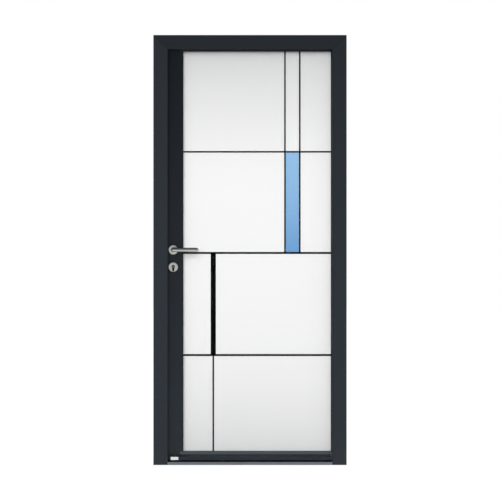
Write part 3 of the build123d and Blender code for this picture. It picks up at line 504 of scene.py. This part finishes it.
def bakeTree(name, mesh, tree, values, body):
    holder = bpy.data.objects.new(name + "Points", mesh)
    bpy.context.scene.collection.objects.link(holder)
    modifier = holder.modifiers.new("build", "NODES")
    modifier.node_group = tree
    for item in tree.interface.items_tree:
        if item.item_type == "SOCKET" and item.in_out == "INPUT" and item.name in values:
            modifier[item.identifier] = values[item.name]
    depsgraph = bpy.context.evaluated_depsgraph_get()
    built = bpy.data.meshes.new_from_object(holder.evaluated_get(depsgraph))
    holder.modifiers.remove(modifier)
    bpy.data.objects.remove(holder)
    piece = bpy.data.objects.new(name, built)
    bpy.context.scene.collection.objects.link(piece)
    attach(piece, body)
    return piece


def setScrews(name, places, values, finish, body):
    if finish not in screwTrees:
        screwTrees[finish] = makeScrewTree(finish)
    mesh = bpy.data.meshes.new(name + "Points")
    mesh.from_pydata([spot for spot, _ in places], [], [])
    facing = mesh.attributes.new("facing", "FLOAT_VECTOR", "POINT")
    for index, (_, direction) in enumerate(places):
        facing.data[index].vector = direction
    return bakeTree(name, mesh, screwTrees[finish], values, body)


def newPiece(name, points, faces, finish, body, sharpFrom=30.0):
    mesh = bpy.data.meshes.new(name)
    mesh.from_pydata(points, [], faces)
    work = bmesh.new()
    work.from_mesh(mesh)
    bmesh.ops.recalc_face_normals(work, faces=work.faces)
    work.to_mesh(mesh)
    work.free()
    mesh.shade_smooth()
    mesh.set_sharp_from_angle(angle=math.radians(sharpFrom))
    mesh.materials.append(materials[finish])
    piece = bpy.data.objects.new(name, mesh)
    bpy.context.scene.collection.objects.link(piece)
    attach(piece, body)
    return piece


# Points of an arc in X and Z, from one angle to another in degrees
def arc(x, z, radius, begin, end, steps):
    angles = [math.radians(begin + (end - begin) * step / steps) for step in range(steps + 1)]
    return [(x + radius * math.cos(angle), z + radius * math.sin(angle)) for angle in angles]


# An upright plate: each ring is an outline at its own depth, from the seat to the face
def makePlate(name, rings, holes, finish, body):
    points, faces = [], []

    def addOutline(outline, depth):
        first = len(points)
        points.extend((x, depth, z) for x, z in outline)
        return first

    def addWall(first, second, count):
        for index in range(count):
            after = (index + 1) % count
            faces.append((first + index, first + after, second + after, second + index))

    ringStarts = [addOutline(outline, depth) for outline, depth in rings]
    for first, second in zip(ringStarts, ringStarts[1:]):
        addWall(first, second, len(rings[0][0]))
    holeStarts = [[addOutline(hole, rings[end][1]) for end in (0, -1)] for hole in holes]
    for hole, (first, second) in zip(holes, holeStarts):
        addWall(first, second, len(hole))
    for end in (0, -1):
        outline = rings[end][0]
        flat = [[Vector((x, z, 0.0)) for x, z in ring] for ring in (outline, *holes)]
        places = list(range(ringStarts[end], ringStarts[end] + len(outline)))
        for hole, starts in zip(holes, holeStarts):
            places.extend(range(starts[end], starts[end] + len(hole)))
        faces.extend(tuple(places[index] for index in triangle) for triangle in tessellate_polygon(flat))
    return newPiece(name, points, faces, finish, body)


# The blank plate at the left end of the weather bar
plate = {"left": -0.402, "right": -0.3636, "low": 0.025, "high": 0.0404, "thickness": 0.0006,
         "corner": 0.0015, "cornerSteps": 4}


def makeBlankPlate():
    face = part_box("drip_bar")[0].y
    inset, steps = plate["corner"], plate["cornerSteps"]
    outline = []
    for x, z, turned in ((plate["right"] - inset, plate["high"] - inset, 0),
                         (plate["left"] + inset, plate["high"] - inset, 90),
                         (plate["left"] + inset, plate["low"] + inset, 180),
                         (plate["right"] - inset, plate["low"] + inset, 270)):
        outline.extend(arc(x, z, inset, turned, turned + 90, steps))
    rings = [(outline, face), (outline, face - plate["thickness"])]
    makePlate("blankPlate", rings, [], "palePlate", "leaf")


# The black seal that shows on the leaf's face beside and above the glass, partly a real seal and partly
# painted shade
seal = {"width": 0.0035, "proud": 0.0003}


def makeSealAndPaintedShade():
    left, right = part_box("lock_stile_outer")[1].x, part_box("hinge_stile_outer")[0].x
    low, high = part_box("bottom_rail_outer")[1].z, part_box("top_rail_outer")[0].z
    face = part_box("lock_stile_outer")[0].y
    width = seal["width"]
    outline = [(left - width, low), (left, low), (left, high), (right, high), (right, low),
               (right + width, low), (right + width, high + width), (left - width, high + width)]
    rings = [(outline, face), (outline, face - seal["proud"])]
    makePlate("glassSealAndPaintedShade", rings, [], "black_rubber", "leaf")


# Roses: a rounded rim that is whole all round, also below the lock cylinder
roseLook = {
    "edge": 0.0018,
    "edgeSteps": 5,
    "faceInset": 1.3,        # where the flat face begins, in edges from the rim
    "sides": 64,
    "neckRadius": 0.0098,
    "neckSides": 48,
    "cylinderDrop": 0.0025,  # how far the cylinder's rose hangs below its plug, which closes the rim
    "holePlay": 0.0003,
}
profile = {"headRadius": 0.0085, "webWidth": 0.010, "height": 0.033, "headSteps": 40, "webSteps": 20}


def neckHole(x, z):
    sides = roseLook["neckSides"]
    return arc(x, z, roseLook["neckRadius"], 0, 360 - 360 / sides, sides - 1)


def profileHole(x, z):
    play = roseLook["holePlay"]
    head = profile["headRadius"] + play
    web = profile["webWidth"] / 2 + play
    drop = profile["height"] - profile["headRadius"] - profile["webWidth"] / 2
    opening = math.degrees(math.asin(web / head))
    return (arc(x, z, head, opening - 90, 270 - opening, profile["headSteps"])
            + arc(x, z - drop, web, 180, 360, profile["webSteps"]))


def makeRose(node, hole, finish, drop=0.0):
    low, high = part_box(node)
    radius = (high.x - low.x) / 2
    x, z = (low.x + high.x) / 2, high.z - radius
    seat, face = (high.y, low.y) if high.y < 0 else (low.y, high.y)
    out = math.copysign(1.0, face - seat)
    sides, edge = roseLook["sides"], roseLook["edge"]

    def ring(inset, depth):
        return arc(x, z - drop, radius - inset, 0, 360 - 360 / sides, sides - 1), depth

    rings = [ring(0.0, seat)]
    for step in range(roseLook["edgeSteps"] + 1):
        angle = math.radians(90 * step / roseLook["edgeSteps"])
        rings.append(ring(edge * (1 - math.cos(angle)), face - out * edge * (1 - math.sin(angle))))
    rings.append(ring(edge * roseLook["faceInset"], face))
    rose = makePlate(node + "Round", rings, [hole(x, z)], finish, "leaf")
    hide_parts(node)


weldDistance = 0.000002


# A merged copy of a CAD piece, shown in its place once its shape or shading is finished
def copyOf(node, name, finish, body, sharpFrom, reshape=None):
    work = bmesh.new()
    work.from_mesh(nodes[node].data)
    bmesh.ops.remove_doubles(work, verts=work.verts, dist=weldDistance)
    for vertex in work.verts:
        if reshape:
            reshape(vertex.co)
    points = [tuple(vertex.co) for vertex in work.verts]
    faces = [[vertex.index for vertex in face.verts] for face in work.faces]
    work.free()
    piece = newPiece(name, points, faces, finish, body, sharpFrom)
    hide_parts(node)


# The solid's nose is lower than the photo shows, so the edge of its front face is raised
threshold = {"noseHeight": 0.015, "faceReach": 0.0005, "footReach": 0.004}


def raiseNose(spot):
    low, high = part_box("threshold_outer")
    atFront = spot.y < low.y + threshold["faceReach"]
    if atFront and low.z + threshold["footReach"] < spot.z < high.z:
        spot.z = threshold["noseHeight"]


# The joint lines where the frame's jambs and head meet
seam = {"faceWidth": 0.072, "width": 0.0016, "proud": 0.0001, "depth": 0.0002, "inset": 0.0015}


def makeSeams():
    low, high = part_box("head_outer")
    near, far, half = seam["inset"], seam["faceWidth"] - seam["inset"], seam["width"] / 2
    for side, label in ((-1, "left"), (1, "right")):
        edge = side * high.x
        outline = [(edge - side * (near + half), high.z - near), (edge - side * near, high.z - near - half),
                   (edge - side * (far - half), high.z - far), (edge - side * far, high.z - far + half)]
        rings = [(outline, low.y + seam["depth"]), (outline, low.y - seam["proud"])]
        makePlate(label + "Seam", rings, [], "black_came", "frame")


# Screws of the hinges, keeps, faceplate and roses
screwSizes = {
    "hinge": {"Head Radius": 0.0042, "Head Height": 0.0016, "Socket Depth": 0.0012},
    "keep": {"Head Radius": 0.0034, "Head Height": 0.0006, "Socket Depth": 0.0005},
    "rose": {"Head Radius": 0.0016, "Head Height": 0.0003, "Socket Share": 0.6, "Socket Depth": 0.0002},
}
hingePlates = {"thickness": 0.004, "halfLength": 0.055, "frameColumn": 0.010, "leafColumns": (0.012, 0.034),
               "frameRows": (-0.042, 0.0, 0.042), "leafRows": (-0.042, 0.042)}
plateScrews = {"fromEnd": 0.007, "faceplateHeights": (0.205, 0.58, 0.92, 1.25, 1.55, 1.975)}


def islandSpans(node):
    heights = sorted(vertex.co.z for vertex in nodes[node].data.vertices)
    low, high = heights[0], heights[-1]
    middle = (low + high) / 2
    return [(low, max(z for z in heights if z < middle)), (min(z for z in heights if z > middle), high)]


def makeHingeScrews():
    low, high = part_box("hinge_frame_halves")
    half = hingePlates["halfLength"]
    heights = (low.z + half, (low.z + high.z) / 2, high.z - half)
    face = low.y + hingePlates["thickness"]
    out = (0.0, 1.0, 0.0)
    column = high.x - hingePlates["frameColumn"]
    onFrame = [((column, face, z + row), out) for z in heights for row in hingePlates["frameRows"]]
    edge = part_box("hinge_door_halves")[0].x
    onLeaf = [((edge + column, face, z + row), out) for z in heights
              for column in hingePlates["leafColumns"] for row in hingePlates["leafRows"]]
    setScrews("hingeScrewsFrame", onFrame, screwSizes["hinge"], "zinc_steel", "frame")
    setScrews("hingeScrewsLeaf", onLeaf, screwSizes["hinge"], "zinc_steel", "leaf")


def makeKeepScrews():
    low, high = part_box("main_keep")
    depth = (low.y + high.y) / 2
    spans = [(low.z, high.z), *islandSpans("hook_keeps")]
    inset = plateScrews["fromEnd"]
    ends = [z for bottom, top in spans for z in (bottom + inset, top - inset)]
    places = [((high.x, depth, z), (1.0, 0.0, 0.0)) for z in ends]
    setScrews("keepScrews", places, screwSizes["keep"], "satin_steel", "frame")
    low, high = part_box("lock_faceplate")
    depth = (low.y + high.y) / 2
    places = [((low.x, depth, z), (-1.0, 0.0, 0.0)) for z in plateScrews["faceplateHeights"]]
    setScrews("faceplateScrews", places, screwSizes["keep"], "satin_steel", "leaf")


def makeRoseScrews():
    places = []
    for node in ("outside_lever_rose", "inside_lever_rose"):
        low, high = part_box(node)
        places.append((((low.x + high.x) / 2, (low.y + high.y) / 2, low.z), (0.0, 0.0, -1.0)))
    setScrews("roseScrews", places, screwSizes["rose"], "satin_steel", "leaf")


makeBlankPlate()
print("blank plate on the weather bar")
for side in ("outside", "inside"):
    makeRose(side + "_lever_rose", neckHole, "satin_steel")
    makeRose(side + "_cylinder_rose", profileHole, "satin_steel", roseLook["cylinderDrop"])
    copyOf(side + "_lever", side + "LeverSmooth", "brushed_steel", "lever_set", 30.0)
copyOf("threshold_outer", "thresholdNose", "threshold_aluminium", "frame", 5.0, raiseNose)
makeSeams()
makeSealAndPaintedShade()
print("roses, levers, threshold and seams")
makeHingeScrews()
makeKeepScrews()
makeRoseScrews()
print("screws set")


# Floor, sky and lamps
stageLook = {
    "floorSize": 60.0, "floorDrop": 0.0005, "floorColor": 0.5, "floorRoughness": 0.9, "floorLift": 0.74,
    "skyLight": 0.42, "zenithGloss": 0.1, "horizonBand": 0.12,
}
lamps = {
    "frontLamp": {"from": (-0.08, -1.0, 0.26), "power": 1.72, "softness": 40.0},
    "backLamp": {"from": (0.5, 1.0, 0.6), "power": 1.2, "softness": 60.0},
}


def backgroundSeen(tree):
    path = addNode(tree, "ShaderNodeLightPath")
    first = mathNode(tree, "MAXIMUM", (path, "Is Camera Ray"), (path, "Is Glossy Ray"))
    return mathNode(tree, "MAXIMUM", (first, 0), (path, "Is Transmission Ray"))


def makeFloor():
    half = stageLook["floorSize"] / 2
    drop = -stageLook["floorDrop"]
    mesh = bpy.data.meshes.new("floor")
    mesh.from_pydata([(-half, -half, drop), (half, -half, drop), (half, half, drop), (-half, half, drop)],
                     [], [(0, 1, 2, 3)])
    floor = bpy.data.objects.new("floor", mesh)
    bpy.context.scene.collection.objects.link(floor)
    shade = stageLook["floorColor"]
    material, tree, shader = newMaterial(
        "paleFloor", baseColor=opaque((shade, shade, shade)),
        roughness=stageLook["floorRoughness"], specular=0.0)
    seen = backgroundSeen(tree)
    lift = mathNode(tree, "MULTIPLY", (seen, 0), stageLook["floorLift"])
    shader.inputs["Emission Color"].default_value = (1.0, 1.0, 1.0, 1.0)
    join(tree, lift, 0, shader, "Emission Strength")
    mesh.materials.append(material)


# Seen directly the background is white; in a reflection it darkens towards the zenith
def makeSky():
    world = bpy.data.worlds.new("studio")
    bpy.context.scene.world = world
    world.use_nodes = True
    tree = world.node_tree
    tree.nodes.clear()
    spot = addNode(tree, "ShaderNodeTexCoord")
    parts = addNode(tree, "ShaderNodeSeparateXYZ")
    join(tree, spot, "Generated", parts, "Vector")
    height = addNode(tree, "ShaderNodeMapRange", {
        "From Min": 0.0, "From Max": stageLook["horizonBand"],
        "To Min": 1.0, "To Max": stageLook["zenithGloss"]})
    join(tree, parts, "Z", height, "Value")
    path = addNode(tree, "ShaderNodeLightPath")
    direct = mathNode(tree, "MAXIMUM", (path, "Is Camera Ray"), (path, "Is Transmission Ray"))
    seen = addNode(tree, "ShaderNodeMix", data_type="FLOAT")
    seen.inputs[numberMix["first"]].default_value = stageLook["skyLight"]
    join(tree, path, "Is Glossy Ray", seen, numberMix["factor"])
    join(tree, height, 0, seen, numberMix["second"])
    strength = addNode(tree, "ShaderNodeMix", data_type="FLOAT")
    strength.inputs[numberMix["second"]].default_value = 1.0
    join(tree, direct, 0, strength, numberMix["factor"])
    join(tree, seen, numberMix["result"], strength, numberMix["first"])
    sky = addNode(tree, "ShaderNodeBackground", {"Color": (1.0, 1.0, 1.0, 1.0)})
    output = addNode(tree, "ShaderNodeOutputWorld")
    join(tree, strength, numberMix["result"], sky, "Strength")
    join(tree, sky, 0, output, "Surface")


def makeLamp(name, look):
    data = bpy.data.lights.new(name, "SUN")
    data.energy = look["power"]
    data.angle = math.radians(look["softness"])
    lamp = bpy.data.objects.new(name, data)
    lamp.rotation_euler = Vector(look["from"]).to_track_quat("Z", "Y").to_euler()
    lamp.visible_glossy = False
    bpy.context.scene.collection.objects.link(lamp)


makeFloor()
makeSky()
for name, look in lamps.items():
    makeLamp(name, look)
bpy.context.scene.view_settings.view_transform = "Standard"
print("floor, sky and lamp set")
